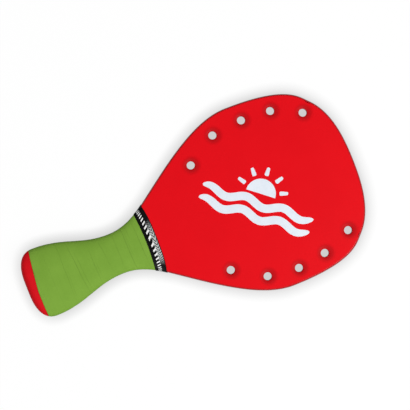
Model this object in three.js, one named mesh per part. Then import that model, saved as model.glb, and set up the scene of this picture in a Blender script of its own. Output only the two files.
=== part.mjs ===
// Frescobol racket: foam-cored beach bat with laminate faces, ten lined air holes and a wrapped handle.
// Sizes are in millimetres. The origin is the middle of the butt's flat end, +X runs to the blade's tip,
// +Z is the front face's normal, and the blade's mid-plane is z = 0.
import * as THREE from 'three';

// Driving dimensions of the whole racket
const racketLength = 440;
const handleLength = 158;
const bladeWidth = 239;
const bladeThickness = 12;
const buttWidth = 89.4;
const waistWidth = 52.8;
const buttThickness = 36;
const waistThickness = 28.4;
const gripEndThickness = 24.6;
const buttFlatWidth = 24;
const buttFlatThickness = 18;

// Where the outline turns: lengths along the racket
const buttCornerLength = 23;
const buttEdgeRounding = 9.5;
const waistToGripEnd = 40;
const thinToGripEnd = 46;
const neckBeyondGrip = 12;
const rampBeyondGrip = 15.5;

// Layers of the blade and of the handle
const faceSheetThickness = 0.8;
const bondGap = 0.3;
const overgripThickness = 1.8;
const overgripGap = 0.4;
const cushionThickness = 2;
const rimRounding = 2.4;

// Butt cap
const capWall = 4.2;
const capSkirtEnd = 24;

// Overgrip: one tape wound from the butt to the neck
const gripStart = 12.8;
const gripStartSlant = 0.118;
const gripStartKink = 8;
const gripUnderTape = 3.5;
const wrapPitch = 15;
const wrapGroove = 0.6;
const wrapLapStep = 0.5;
const wrapLeastWidth = 3;

// Finishing tape
const tapeThickness = 0.8;
const tapeWidth = 12.7;
const tapeStartBow = 2.5;
const tapeEndBow = 3.8;

// Air holes
const holeBore = 10.2;
const holeMouth = 18.4;
const holeMouthDepth = 1.6;
const holeTubeWall = 1.4;

// Counts and shape exponents
const capArcSteps = 11;
const stationsAround = 2 * (capArcSteps + 1);
const sectionExponent = 2.4;
const rimExponent = 2.3;
const rimArcSteps = 6;
const curveSteps = 48;
const longestFacet = 12;
const sharpestTurn = 7;
const holeSides = 16;
const mouthSteps = 3;
const ringSpacing = 7.5;
const cornerRings = 8;
const lineSettlings = 4;
const tapeRings = 5;
const degree = Math.PI / 180;

// Sizes worked out from the driving ones
const halfOf = (size) => size / 2;
const bladeLength = racketLength - handleLength;
const bladeHalf = halfOf(bladeThickness);
const coreHalf = bladeHalf - faceSheetThickness;
const cushionInset = overgripThickness + overgripGap;
const cushionInnerInset = cushionInset + cushionThickness;
const blankInset = cushionInnerInset + bondGap;
const capEndInset = capWall + bondGap;
const waistAt = handleLength - waistToGripEnd;
const thinAt = handleLength - thinToGripEnd;
const wrapsEnd = handleLength + gripUnderTape;
const bandStart = wrapsEnd + bondGap;
const tapeOffset = bondGap;

// A knot of a curve: where it is, the way the curve heads there, and how far the curve keeps that
// heading, as shares of the chord back to the knot before it and on to the next one.
function knot(x, y, heading, backShare, aheadShare) {
  return { point: new THREE.Vector2(x, y), heading: heading * degree, backShare, aheadShare };
}

// Half of the racket's plan outline, from the butt's flat end to the tip
const neckWidthShare = 0.377;
const widestShare = 0.549;
const shoulderShare = 0.911;
const shoulderWidthShare = 0.751;
const planKnots = [
  knot(0, halfOf(buttFlatWidth), 90, 0, 0.095),
  knot(buttCornerLength, halfOf(buttWidth), 0, 0.565, 0.417),
  knot(waistAt, halfOf(waistWidth), 0, 0.372, 0.105),
  knot(handleLength + neckBeyondGrip, neckWidthShare * halfOf(bladeWidth), 35.5, 0.611, 0.363),
  knot(handleLength + widestShare * bladeLength, halfOf(bladeWidth), 0, 0.277, 0.781),
  knot(
    handleLength + shoulderShare * bladeLength,
    shoulderWidthShare * halfOf(bladeWidth),
    -45,
    0.121,
    0.351,
  ),
  knot(racketLength, 0, -90, 0.294, 0),
];

// Half of the handle's side profile, from the butt's flat end down the ramp to the blade's face. It
// falls from the butt on, so a racket that lies flat rests on the cap and the blade's tip.
const sideKnots = [
  knot(0, halfOf(buttFlatThickness), 90, 0, 0.4),
  knot(buttEdgeRounding, halfOf(buttThickness), -2, 0.4, 0.15),
  knot(thinAt, halfOf(waistThickness), -0.5, 0.45, 0.5),
  knot(handleLength, halfOf(gripEndThickness), -14, 0.12, 0.35),
  knot(handleLength + rampBeyondGrip, bladeHalf, -12, 0.35, 0.35),
  knot(racketLength, bladeHalf, 0, 0, 0),
];

// Samples a chain of cubic curves: each sample has its point and its outward normal
function sampleChain(knots, stepsPerCurve) {
  const samples = [];
  for (let k = 0; k + 1 < knots.length; k += 1) {
    const a = knots[k];
    const b = knots[k + 1];
    const chord = a.point.distanceTo(b.point);
    const leave = new THREE.Vector2(Math.cos(a.heading), Math.sin(a.heading));
    const arrive = new THREE.Vector2(Math.cos(b.heading), Math.sin(b.heading));
    const curve = new THREE.CubicBezierCurve(
      a.point,
      a.point.clone().addScaledVector(leave, a.aheadShare * chord),
      b.point.clone().addScaledVector(arrive, -b.backShare * chord),
      b.point,
    );
    const last = k + 2 === knots.length;
    for (let i = 0; i < stepsPerCurve + (last ? 1 : 0); i += 1) {
      const point = curve.getPoint(i / stepsPerCurve);
      const tangent = curve.getTangent(i / stepsPerCurve);
      samples.push({ point, normal: new THREE.Vector2(-tangent.y, tangent.x) });
    }
  }
  return samples;
}

// Moves each sample inwards along its normal
function inset(samples, depth) {
  return samples.map(({ point, normal }) => point.clone().addScaledVector(normal, -depth));
}

// Reads a line of points at a place along X
function readAt(line, x) {
  const next = line.findIndex((point) => point.x > x);
  if (next === 0) return line[0].y;
  if (next < 0) return line[line.length - 1].y;
  const before = line[next - 1];
  const after = line[next];
  return THREE.MathUtils.mapLinear(x, before.x, after.x, before.y, after.y);
}

// Keeps the samples that the solids need: one where the curve has run the longest facet or turned by
// the sharpest turn since the last one kept
function thinOut(samples) {
  const kept = [samples[0]];
  samples.forEach((sample, index) => {
    const last = kept[kept.length - 1];
    const run = sample.point.distanceTo(last.point);
    const turn = Math.acos(THREE.MathUtils.clamp(sample.normal.dot(last.normal), -1, 1));
    const ends = index === samples.length - 1;
    if (ends || run > longestFacet || turn > sharpestTurn * degree) kept.push(sample);
  });
  return kept;
}

const planSamples = sampleChain(planKnots, curveSteps);
const sideSamples = sampleChain(sideKnots, curveSteps);
const planFacets = thinOut(planSamples);

// The skin at one depth below the handle's outer surface: its half width and half thickness along X
function makeSkin(depth, straightSide) {
  const plan = inset(planSamples, depth);
  const side = inset(sideSamples, depth);
  return {
    straightSide,
    width: (x) => readAt(plan, x),
    thickness: (x) => Math.max(readAt(side, x), straightSide),
  };
}

const outerSkin = makeSkin(0, bladeHalf);
const lapSkin = makeSkin(wrapLapStep, bladeHalf);
const lapMiddleSkin = makeSkin(halfOf(wrapLapStep), bladeHalf);
const overgripInnerSkin = makeSkin(overgripThickness, bladeHalf);
const cushionSkin = makeSkin(cushionInset, bladeHalf);
const cushionInnerSkin = makeSkin(cushionInnerInset, bladeHalf);
const capInnerSkin = makeSkin(capWall, bladeHalf);
const blankSkin = makeSkin(blankInset, bladeHalf);
const tapeInnerSkin = makeSkin(-tapeOffset, bladeHalf + tapeOffset);
const tapeSkin = makeSkin(-tapeOffset - tapeThickness, bladeHalf + tapeOffset + tapeThickness);

// The handle's section: straight sides as tall as the blade, with a flattened arch above and below.
// Stations 0 to capArcSteps go over the front from +Y to -Y, and the rest come back under the handle.
function stationShare(station) {
  const back = station > capArcSteps;
  const angle = (Math.PI * (back ? station - capArcSteps - 1 : station)) / capArcSteps;
  const power = 2 / sectionExponent;
  const across = Math.sign(Math.cos(angle)) * Math.abs(Math.cos(angle)) ** power;
  const up = Math.abs(Math.sin(angle)) ** power;
  return { across: back ? -across : across, up, side: back ? -1 : 1 };
}

function skinPoint(skin, station, x) {
  const { across, up, side } = stationShare(station);
  const rise = skin.straightSide + (skin.thickness(x) - skin.straightSide) * up;
  return new THREE.Vector3(x, skin.width(x) * across, side * rise);
}

// A station's place on a line that wanders along X as it crosses the handle
function placeOnLine(skin, station, line) {
  let x = line(0);
  for (let i = 0; i < lineSettlings; i += 1) x = line(skinPoint(skin, station, x).y);
  return x;
}

// One ring of a skin, at a place along X or on such a line
function skinRing(skin, x) {
  const ring = [];
  for (let station = 0; station < stationsAround; station += 1) {
    const place = typeof x === 'function' ? placeOnLine(outerSkin, station, x) : x;
    ring.push(skinPoint(skin, station, place));
  }
  return ring;
}

// Places of rings from one end to the other: close together in the butt's rounded corner, and from
// there on places that all the layers share, so that their facets run alongside each other
function ringPlaces(from, to) {
  const places = [from];
  const cornerSpan = buttCornerLength - from;
  for (let i = 1; i <= cornerRings && cornerSpan > 0; i += 1) {
    places.push(from + cornerSpan * (i / cornerRings) ** 2);
  }
  const count = Math.round((wrapsEnd - buttCornerLength) / ringSpacing);
  for (let i = 1; i < count; i += 1) {
    const place = THREE.MathUtils.lerp(buttCornerLength, wrapsEnd, i / count);
    if (place > places[places.length - 1] + bondGap && place < to - bondGap) places.push(place);
  }
  return [...places, to];
}

// Joins rings of points into one closed body: end to end with flat ends, or round into a loop. The
// squares between rings are split along the same diagonal whichever way the rings run along X, so that
// a layer's inside stays parallel to the outside of the layer under it.
function loft(rings, closesOnItself) {
  const size = rings[0].length;
  const positions = rings.flat().flatMap((point) => point.toArray());
  const triangles = [];
  const spans = closesOnItself ? rings.length : rings.length - 1;
  for (let r = 0; r < spans; r += 1) {
    const here = r * size;
    const there = ((r + 1) % rings.length) * size;
    for (let i = 0; i < size; i += 1) {
      const next = (i + 1) % size;
      if (positions[3 * there] < positions[3 * here]) {
        triangles.push(here + i, there + i, here + next, there + i, there + next, here + next);
      } else {
        triangles.push(here + i, there + i, there + next, here + i, there + next, here + next);
      }
    }
  }
  if (!closesOnItself) {
    const lastRing = (rings.length - 1) * size;
    for (let i = 1; i + 1 < size; i += 1) {
      triangles.push(0, i, i + 1, lastRing, lastRing + i + 1, lastRing + i);
    }
  }
  const geometry = new THREE.BufferGeometry();
  geometry.setAttribute('position', new THREE.Float32BufferAttribute(positions, 3));
  geometry.setIndex(volumeOf(positions, triangles) < 0 ? triangles.reverse() : triangles);
  geometry.computeVertexNormals();
  return geometry;
}

// Signed volume of a closed mesh, positive where its faces point out
function volumeOf(positions, triangles) {
  const corner = (index) => new THREE.Vector3().fromArray(positions, 3 * index);
  let volume = 0;
  for (let i = 0; i < triangles.length; i += 3) {
    const [a, b, c] = triangles.slice(i, i + 3).map(corner);
    volume += a.dot(b.cross(c)) / 6;
  }
  return volume;
}

// Air holes: five pairs that follow the rim. A pair drifts off the middle line by a share of the blade's
// width, and its line leans by a share of its reach, as a hand-held drilling jig leaves them
const holeAlongShares = [0.3142, 0.455, 0.5983, 0.732, 0.8649];
const holeAcrossShares = [0.723, 0.8245, 0.835, 0.8255, 0.774];
const holeDriftShares = [-0.0071, -0.0057, -0.0065, 0, -0.0025];
const holeLeanShares = [0.011, 0.0025, 0.0025, 0.0095, 0.008];
const holePlaces = holeAlongShares.flatMap((alongShare, pair) => {
  const x = handleLength + alongShare * bladeLength;
  const reach = holeAcrossShares[pair] * outerSkin.width(x);
  const drift = holeDriftShares[pair] * bladeWidth;
  return [reach, -reach].map((y) => new THREE.Vector2(x + holeLeanShares[pair] * y, y + drift));
});

// A hole's edge, clockwise
function holeEdge(place, radius) {
  const edge = [];
  for (let i = 0; i < holeSides; i += 1) {
    const angle = (-2 * Math.PI * i) / holeSides;
    edge.push(new THREE.Vector2(Math.cos(angle), Math.sin(angle)).multiplyScalar(radius).add(place));
  }
  return edge;
}

// A plate with the blank's outline and a row of holes, from one height to another. Its tang and its
// blade are filled as two fields, so that no facet of the blade's flat runs back under the handle.
function blankPlate(bottom, top, holeRadius) {
  const left = inset(planFacets, blankInset);
  const right = left.map((point) => new THREE.Vector2(point.x, -point.y));
  const cut = left.findIndex((point) => point.x > handleLength + tapeWidth + tapeEndBow);
  const tang = [...right.slice(0, cut + 1), ...left.slice(0, cut + 1).reverse()];
  const blade = [...right.slice(cut), ...left.slice(cut, -1).reverse()];
  const outline = [...right, ...left.slice(0, -1).reverse()];
  const holes = holePlaces.map((place) => holeEdge(place, holeRadius));
  const positions = [];
  const put = (...corners) => corners.forEach(([point, z]) => positions.push(point.x, point.y, z));
  const fill = (field, openings) => {
    const points = [field, ...openings].flat();
    for (const triangle of THREE.ShapeUtils.triangulateShape(field, openings)) {
      const corners = triangle.map((index) => points[index]);
      const [a, b, c] = THREE.ShapeUtils.area(corners) < 0 ? corners.reverse() : corners;
      put([a, top], [b, top], [c, top], [a, bottom], [c, bottom], [b, bottom]);
    }
  };
  fill(tang, []);
  fill(blade, holes);
  for (const edge of [outline, ...holes]) {
    edge.forEach((point, i) => {
      const next = edge[(i + 1) % edge.length];
      put([point, bottom], [next, bottom], [next, top], [point, bottom], [next, top], [point, top]);
    });
  }
  const geometry = new THREE.BufferGeometry();
  geometry.setAttribute('position', new THREE.Float32BufferAttribute(positions, 3));
  geometry.computeVertexNormals();
  return geometry;
}

// The foam core, with its tang running to the butt
function makeCore() {
  return blankPlate(-coreHalf, coreHalf, halfOf(holeBore) + holeTubeWall + bondGap);
}

// A laminate face sheet, bonded flat on the core
function makeFaceSheet(side) {
  const bottom = side > 0 ? coreHalf : -bladeHalf;
  return blankPlate(bottom, bottom + faceSheetThickness, halfOf(holeMouth) + bondGap);
}

// The rim moulding round the blade: flat where it meets the core, rounded outside
function makeEdgeBand() {
  const profile = [
    { depth: blankInset - bondGap, z: -bladeHalf },
    { depth: blankInset - bondGap, z: bladeHalf },
  ];
  for (let i = 0; i <= rimArcSteps; i += 1) {
    const angle = (Math.PI * i) / rimArcSteps;
    const out = Math.sin(angle) ** (2 / rimExponent);
    const up = Math.sign(Math.cos(angle)) * Math.abs(Math.cos(angle)) ** (2 / rimExponent);
    profile.push({ depth: rimRounding * (1 - out), z: bladeHalf * up });
  }
  const half = planFacets.filter((sample) => sample.point.x > bandStart);
  const mirrored = half
    .slice(0, -1)
    .reverse()
    .map(({ point, normal }) => ({
      point: new THREE.Vector2(point.x, -point.y),
      normal: new THREE.Vector2(normal.x, -normal.y),
    }));
  const rings = [...half, ...mirrored].map(({ point, normal }) =>
    profile.map(({ depth, z }) => {
      const place = point.clone().addScaledVector(normal, -depth);
      return new THREE.Vector3(place.x, place.y, z);
    }),
  );
  return loft(rings, false);
}

// A hole's liner: a thin tube through the core whose rounded mouths lie flush in the face sheets
function makeHoleLiner() {
  const boreRadius = halfOf(holeBore);
  const mouthRadius = halfOf(holeMouth);
  const tubeRadius = boreRadius + holeTubeWall;
  const front = [];
  for (let i = 0; i <= mouthSteps; i += 1) {
    const angle = (halfOf(Math.PI) * i) / mouthSteps;
    const radius = mouthRadius - (mouthRadius - boreRadius) * Math.sin(angle);
    front.push(new THREE.Vector2(radius, bladeHalf - holeMouthDepth * (1 - Math.cos(angle))));
  }
  front.unshift(new THREE.Vector2(tubeRadius, coreHalf), new THREE.Vector2(mouthRadius, coreHalf));
  const back = front.map((point) => new THREE.Vector2(point.x, -point.y)).reverse();
  const profile = [...front, ...back, front[0].clone()];
  return new THREE.LatheGeometry(profile, holeSides).rotateX(halfOf(Math.PI));
}

// A handle scale: flat on the blank, arched outside, thinning towards the neck
function makeHandleScale(firstStation) {
  const rings = ringPlaces(capEndInset, wrapsEnd).map((x) => {
    const ring = [];
    for (let station = firstStation; station <= firstStation + capArcSteps; station += 1) {
      ring.push(skinPoint(blankSkin, station, x));
    }
    return ring;
  });
  return loft(rings, false);
}

// The line where the overgrip starts: square across the handle, then slanting away on the +Y side
function gripStartLine(y) {
  return gripStart + gripStartSlant * Math.max(0, y + gripStartKink);
}

// The butt cap: a cup over the handle's end whose thin skirt runs in under the overgrip
function makeButtCap() {
  const shoulder = (y) => gripStartLine(y) - bondGap;
  const outerPlaces = [];
  for (let i = 0; i < cornerRings; i += 1) {
    outerPlaces.push((gripStart - bondGap) * (i / cornerRings) ** 2);
  }
  const innerPlaces = ringPlaces(capWall, capSkirtEnd).reverse();
  const rings = [
    ...outerPlaces.map((x) => skinRing(outerSkin, x)),
    skinRing(outerSkin, shoulder),
    skinRing(cushionSkin, shoulder),
    skinRing(cushionSkin, capSkirtEnd),
    ...innerPlaces.map((x) => skinRing(capInnerSkin, x)),
  ];
  return loft(rings, false);
}

// The cushion under the overgrip: a soft sleeve from the cap's skirt to the neck
function makeCushion() {
  const places = ringPlaces(capSkirtEnd + bondGap, wrapsEnd);
  const outside = places.map((x) => skinRing(cushionSkin, x));
  const inside = places.map((x) => skinRing(cushionInnerSkin, x)).reverse();
  return loft([...outside, ...inside], true);
}

// The overgrip: one unbroken tape wound up the handle. Each turn sits highest at its butt side, where
// the real tape laps over the turn before, and falls by the lap's step towards the next one.
function overgripSections() {
  const sections = [];
  const turns = (wrapsEnd - gripStart) / wrapPitch + 1;
  for (let step = 0; step < turns * stationsAround; step += 1) {
    const station = step % stationsAround;
    const reach = gripStart + (wrapPitch * step) / stationsAround;
    const start = placeOnLine(outerSkin, station, gripStartLine);
    const low = Math.max(reach - wrapPitch + wrapGroove, start);
    const high = Math.min(reach, wrapsEnd);
    if (high - low >= wrapLeastWidth) {
      const middle = halfOf(low + high);
      sections.push([
        skinPoint(overgripInnerSkin, station, low),
        skinPoint(overgripInnerSkin, station, middle),
        skinPoint(overgripInnerSkin, station, high),
        skinPoint(lapSkin, station, high),
        skinPoint(lapMiddleSkin, station, middle),
        skinPoint(outerSkin, station, low),
      ]);
    }
  }
  return sections;
}

// Least distance between one turn of the tape and the next, measured on the sections' points
function leastTurnGap(sections) {
  let least = Infinity;
  for (let step = 0; step + stationsAround < sections.length; step += 1) {
    for (const point of sections[step]) {
      for (const other of sections[step + stationsAround]) {
        least = Math.min(least, point.distanceTo(other));
      }
    }
  }
  return least;
}

// The finishing tape round the neck: it holds the overgrip's end down and rides onto the blade
function makeFinishingTape() {
  const outside = [];
  const inside = [];
  for (let i = 0; i < tapeRings; i += 1) {
    const share = i / (tapeRings - 1);
    const bow = THREE.MathUtils.lerp(tapeStartBow, tapeEndBow, share);
    const base = handleLength + share * tapeWidth;
    const place = (y) => base + bow * (1 - (y / outerSkin.width(base)) ** 2);
    outside.push(skinRing(tapeSkin, place));
    inside.unshift(skinRing(tapeInnerSkin, place));
  }
  return loft([...outside, ...inside], true);
}

function paint(color, roughness, metalness = 0) {
  return new THREE.MeshStandardMaterial({ color, roughness, metalness });
}

const materials = {
  lacquer: paint('#e0131d', 0.35),
  cap: paint('#d5111e', 0.5),
  foam: paint('#e9e3d2', 0.9),
  scale: paint('#c8a877', 0.8),
  cushion: paint('#2a2c2e', 0.95),
  overgrip: paint('#7aa339', 0.75),
  tape: paint('#16181a', 0.45),
};

const racket = new THREE.Group();

function addPiece(name, geometry, material, place = new THREE.Vector2()) {
  const mesh = new THREE.Mesh(geometry, material);
  mesh.name = name;
  mesh.position.set(place.x, place.y, 0);
  racket.add(mesh);
}

const overgrip = overgripSections();
console.log(`least gap between turns of the overgrip: ${leastTurnGap(overgrip).toFixed(2)} mm`);

addPiece('blade_core', makeCore(), materials.foam);
addPiece('front_face_sheet', makeFaceSheet(1), materials.lacquer);
addPiece('back_face_sheet', makeFaceSheet(-1), materials.lacquer);
addPiece('edge_band', makeEdgeBand(), materials.lacquer);
holePlaces.forEach((place, index) => {
  const number = String(index + 1).padStart(2, '0');
  addPiece(`hole_liner_${number}`, makeHoleLiner(), materials.lacquer, place);
});
addPiece('handle_scale_front', makeHandleScale(0), materials.scale);
addPiece('handle_scale_back', makeHandleScale(capArcSteps + 1), materials.scale);
addPiece('butt_cap', makeButtCap(), materials.cap);
addPiece('cushion_wrap', makeCushion(), materials.cushion);
addPiece('overgrip', loft(overgrip, false), materials.overgrip);
addPiece('finishing_tape', makeFinishingTape(), materials.tape);

export default racket;
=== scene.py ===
"""Frescobol racket: its looks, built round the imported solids, in metres and in the solids' own frame.
+X runs from the butt to the blade's tip, +Z is the front face's normal, and the blade's mid-plane is
z = 0.
"""
import math

import bpy
import numpy as np
from mathutils.geometry import tessellate_polygon
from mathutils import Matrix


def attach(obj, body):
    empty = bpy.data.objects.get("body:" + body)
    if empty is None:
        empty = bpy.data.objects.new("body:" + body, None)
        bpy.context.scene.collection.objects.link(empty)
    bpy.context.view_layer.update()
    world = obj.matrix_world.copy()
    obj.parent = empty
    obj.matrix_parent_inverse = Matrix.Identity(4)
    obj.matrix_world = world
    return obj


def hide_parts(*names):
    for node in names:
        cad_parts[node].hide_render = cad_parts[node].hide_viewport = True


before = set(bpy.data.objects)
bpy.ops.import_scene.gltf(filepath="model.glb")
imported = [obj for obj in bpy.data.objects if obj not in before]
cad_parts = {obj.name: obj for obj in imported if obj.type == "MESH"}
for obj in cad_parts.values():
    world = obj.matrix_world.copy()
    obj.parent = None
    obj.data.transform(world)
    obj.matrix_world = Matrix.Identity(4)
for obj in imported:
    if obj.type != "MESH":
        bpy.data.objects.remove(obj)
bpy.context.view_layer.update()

MM = 0.001
MICRON = 0.000001

# Sizes of the racket, as in the solids' source
RACKET_LENGTH = 440 * MM
HANDLE_LENGTH = 158 * MM
BLADE_LENGTH = RACKET_LENGTH - HANDLE_LENGTH
BLADE_HALF_WIDTH = 119.5 * MM
BLADE_HALF = 6 * MM
FACE_SHEET = 0.8 * MM
RIM_ROUNDING = 2.4 * MM
RIM_EXPONENT = 2.3
SECTION_EXPONENT = 2.4
GRIP_START = 12.8 * MM
GRIP_START_SLANT = 0.118
GRIP_START_KINK = 8 * MM
WRAP_PITCH = 15 * MM
WRAPS_END = 161.5 * MM
BAND_START = 161.8 * MM
TAPE_WIDTH = 12.7 * MM
TAPE_START_BOW = 2.5 * MM
TAPE_END_BOW = 3.8 * MM
HOLE_BORE = 5.1 * MM
HOLE_MOUTH = 9.2 * MM
HOLE_MOUTH_DEPTH = 1.6 * MM
HOLE_TUBE = 6.5 * MM
HOLE_ALONG = np.array([0.3142, 0.455, 0.5983, 0.732, 0.8649])
HOLE_ACROSS = np.array([0.723, 0.8245, 0.835, 0.8255, 0.774])
HOLE_DRIFT = np.array([-0.0071, -0.0057, -0.0065, 0, -0.0025])
HOLE_LEAN = np.array([0.011, 0.0025, 0.0025, 0.0095, 0.008])

# Sizes that only the looks have
FACE_EDGE = 3.0 * MM
BAND_DEPTH = 4.2 * MM
TANG_INSET = 4.5 * MM
LIP_FLANGE = 9.5 * MM
SHEET_BACK = BLADE_HALF - FACE_SHEET - 0.05 * MM

# Curves and skins

# Knots of the outline and of the side profile: x, y, heading in degrees, and how far the curve keeps
# that heading, as shares of the chord back to the knot before and on to the next one
PLAN_KNOTS = [
    (0, 12 * MM, 90, 0, 0.095),
    (23 * MM, 44.7 * MM, 0, 0.565, 0.417),
    (118 * MM, 26.4 * MM, 0, 0.372, 0.105),
    (170 * MM, 0.377 * BLADE_HALF_WIDTH, 35.5, 0.611, 0.363),
    (HANDLE_LENGTH + 0.549 * BLADE_LENGTH, BLADE_HALF_WIDTH, 0, 0.277, 0.781),
    (HANDLE_LENGTH + 0.911 * BLADE_LENGTH, 0.751 * BLADE_HALF_WIDTH, -45, 0.121, 0.351),
    (RACKET_LENGTH, 0, -90, 0.294, 0),
]
SIDE_KNOTS = [
    (0, 9 * MM, 90, 0, 0.4),
    (9.5 * MM, 18 * MM, -2, 0.4, 0.15),
    (112 * MM, 14.2 * MM, -0.5, 0.45, 0.5),
    (HANDLE_LENGTH, 12.3 * MM, -14, 0.12, 0.35),
    (173.5 * MM, BLADE_HALF, -12, 0.35, 0.35),
    (RACKET_LENGTH, BLADE_HALF, 0, 0, 0),
]
CURVE_STEPS = 400
SLOPE_INSET = 1e-4

# A turn round the handle has 24 stations: 11 steps over each arch and one along each straight side
STATIONS = 24
ARC_STATIONS = 11
SETTLE_ROUNDS = 5


def heading(degrees):
    """The unit vector at an angle from +X."""
    return np.array([math.cos(math.radians(degrees)), math.sin(math.radians(degrees))])


def sample_chain(knots):
    """Cubic curves from knot A to knot B: (1-t)^3 A + 3(1-t)^2 t P + 3(1-t) t^2 Q + t^3 B, where P lies
    ahead of A and Q behind B along their headings. Gives points and outward normals."""
    points, normals = [], []
    for (ax, ay, a_way, _, ahead), (bx, by, b_way, back, _) in zip(knots, knots[1:]):
        a, b = np.array([ax, ay]), np.array([bx, by])
        chord = np.hypot(*(b - a))
        p, q = a + ahead * chord * heading(a_way), b - back * chord * heading(b_way)
        t = np.linspace(0, 1, CURVE_STEPS + 1)[:, None]
        points.append((1 - t) ** 3 * a + 3 * (1 - t) ** 2 * t * p + 3 * (1 - t) * t**2 * q + t**3 * b)
        # The slope is read just inside the ends, because it is nothing where P is A or Q is B
        t = np.clip(t, SLOPE_INSET, 1 - SLOPE_INSET)
        slope = (1 - t) ** 2 * (p - a) + 2 * (1 - t) * t * (q - p) + t**2 * (b - q)
        normals.append(np.stack([-slope[:, 1], slope[:, 0]], 1) / np.hypot(*slope.T)[:, None])
    # Each curve's last point is the next one's first, so only the last curve keeps it
    return [
        np.concatenate([part[:-1] for part in parts[:-1]] + parts[-1:]) for parts in (points, normals)
    ]


PLAN, PLAN_NORMALS = sample_chain(PLAN_KNOTS)
SIDE, SIDE_NORMALS = sample_chain(SIDE_KNOTS)

# Half widths and half thicknesses of the handle's layers, on a table of depths and places along X
TABLE_DEPTHS = np.linspace(-1.5, 5, 66) * MM
TABLE_PLACES = np.linspace(0, 200, 2001) * MM


def layer_table(points, normals):
    """The line moved inwards along its normals by each depth, read at each place along X."""
    lines = [points - depth * normals for depth in TABLE_DEPTHS]
    return np.stack([np.interp(TABLE_PLACES, line[:, 0], line[:, 1]) for line in lines])


PLAN_TABLE = layer_table(PLAN, PLAN_NORMALS)
SIDE_TABLE = layer_table(SIDE, SIDE_NORMALS)


def table_cell(values, marks):
    """The number of the last mark before each value, and the share of the way to the next one."""
    place = np.clip((values - marks[0]) / (marks[1] - marks[0]), 0, len(marks) - 1.001)
    whole = place.astype(int)
    return whole, place - whole


def read_table(table, depth, x):
    """Bilinear reading of a table at depths and places."""
    r, dr = table_cell(depth, TABLE_DEPTHS)
    c, dc = table_cell(x, TABLE_PLACES)
    near = table[r, c] * (1 - dc) + table[r, c + 1] * dc
    far = table[r + 1, c] * (1 - dc) + table[r + 1, c + 1] * dc
    return near * (1 - dr) + far * dr


def section_shares(turn):
    """Where a share of a turn lies on the handle's section: across from -1 to 1, lean of the straight
    side from -1 to 1, and rise of the arch. The front arch is a superellipse half from +Y to -Y, a
    straight side leads down, the back arch returns, and a straight side closes the turn."""
    k = (turn % 1) * STATIONS
    back = k >= STATIONS / 2
    k = np.where(back, k - STATIONS / 2, k)
    arc = np.minimum(k, ARC_STATIONS) * math.pi / ARC_STATIONS
    side = np.clip(k - ARC_STATIONS, 0, 1)
    power = 2 / SECTION_EXPONENT
    across = np.sign(np.cos(arc)) * np.abs(np.cos(arc)) ** power
    rise = np.abs(np.sin(arc)) ** power * (k < ARC_STATIONS)
    lean = 1 - 2 * side
    sign = np.where(back, -1.0, 1.0)
    return sign * across, sign * lean, sign * rise


def skin_points(depth, turn, x, rounding=0.0):
    """Points of the handle's skin at a depth: y = across * half width and
    z = lean * straight side + rise * (half thickness - straight side). Where rounding is above 0, the
    straight side bulges as the blade's rim does, by that much."""
    depth, turn, x = np.broadcast_arrays(*(np.asarray(values, float) for values in (depth, turn, x)))
    across, lean, rise = section_shares(turn)
    straight = BLADE_HALF + np.maximum(-depth, 0)
    width = read_table(PLAN_TABLE, depth, x)
    height = np.maximum(read_table(SIDE_TABLE, depth, x), straight)
    on_side = np.abs(across) > 1 - 1e-9
    bulge = rounding * (1 - (1 - np.abs(lean) ** RIM_EXPONENT) ** (1 / RIM_EXPONENT))
    y = np.where(on_side, np.sign(across) * (width - bulge), across * (width - rounding))
    return np.stack([x, y, lean * straight + rise * (height - straight)], -1)


def settle(turn, line, first=GRIP_START):
    """Places along X where a line x = line(y) crosses the outer skin at shares of a turn, found from a
    first guess in a few rounds."""
    x = np.full(np.shape(turn), first)
    for _ in range(SETTLE_ROUNDS):
        x = line(skin_points(0, turn, x)[..., 1])
    return x


def grip_start_line(y):
    """The overgrip's start: square across the handle, then slanting away on the +Y side."""
    return GRIP_START + GRIP_START_SLANT * np.maximum(0, y + GRIP_START_KINK)


# Meshes


def add_object(name, data):
    """An object with its mesh, lamp or camera, added to the scene."""
    new = bpy.data.objects.new(name, data)
    bpy.context.scene.collection.objects.link(new)
    return new


def make_piece(name, points, faces, material, crease=35, uv=None, pool=None, closed=True, smooth=True):
    """A piece from points and faces. A closed one is turned so that its volume is positive. Edges sharper
    than the crease angle stay sharp. Painted shade says how much darker colour is painted in at each point
    to stand for shade."""
    points = np.asarray(points, float).reshape(-1, 3)
    if closed:
        volume = 0.0
        for size in sorted({len(f) for f in faces}):
            same = np.array([f for f in faces if len(f) == size])
            for k in range(1, size - 1):
                a, b, c = points[same[:, 0]], points[same[:, k]], points[same[:, k + 1]]
                volume += np.einsum("ij,ij->i", a, np.cross(b, c)).sum() / 6
        if volume < 0:
            faces = [f[::-1] for f in faces]
    mesh = bpy.data.meshes.new(name)
    mesh.from_pydata(points.tolist(), [], faces)
    mesh.set_sharp_from_angle(angle=math.radians(crease))
    mesh.polygons.foreach_set("use_smooth", np.full(len(mesh.polygons), smooth))
    if uv is not None:
        layer = mesh.uv_layers.new(name="UVMap")
        corner = np.zeros(len(mesh.loops), int)
        mesh.loops.foreach_get("vertex_index", corner)
        layer.data.foreach_set("uv", np.asarray(uv, float).reshape(-1, 2)[corner].ravel())
    if pool is not None:
        layer = mesh.attributes.new("pool", "FLOAT", "POINT")
        layer.data.foreach_set("value", np.asarray(pool, float).ravel())
    mesh.update()
    mesh.materials.append(material)
    return add_object(name, mesh)


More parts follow.
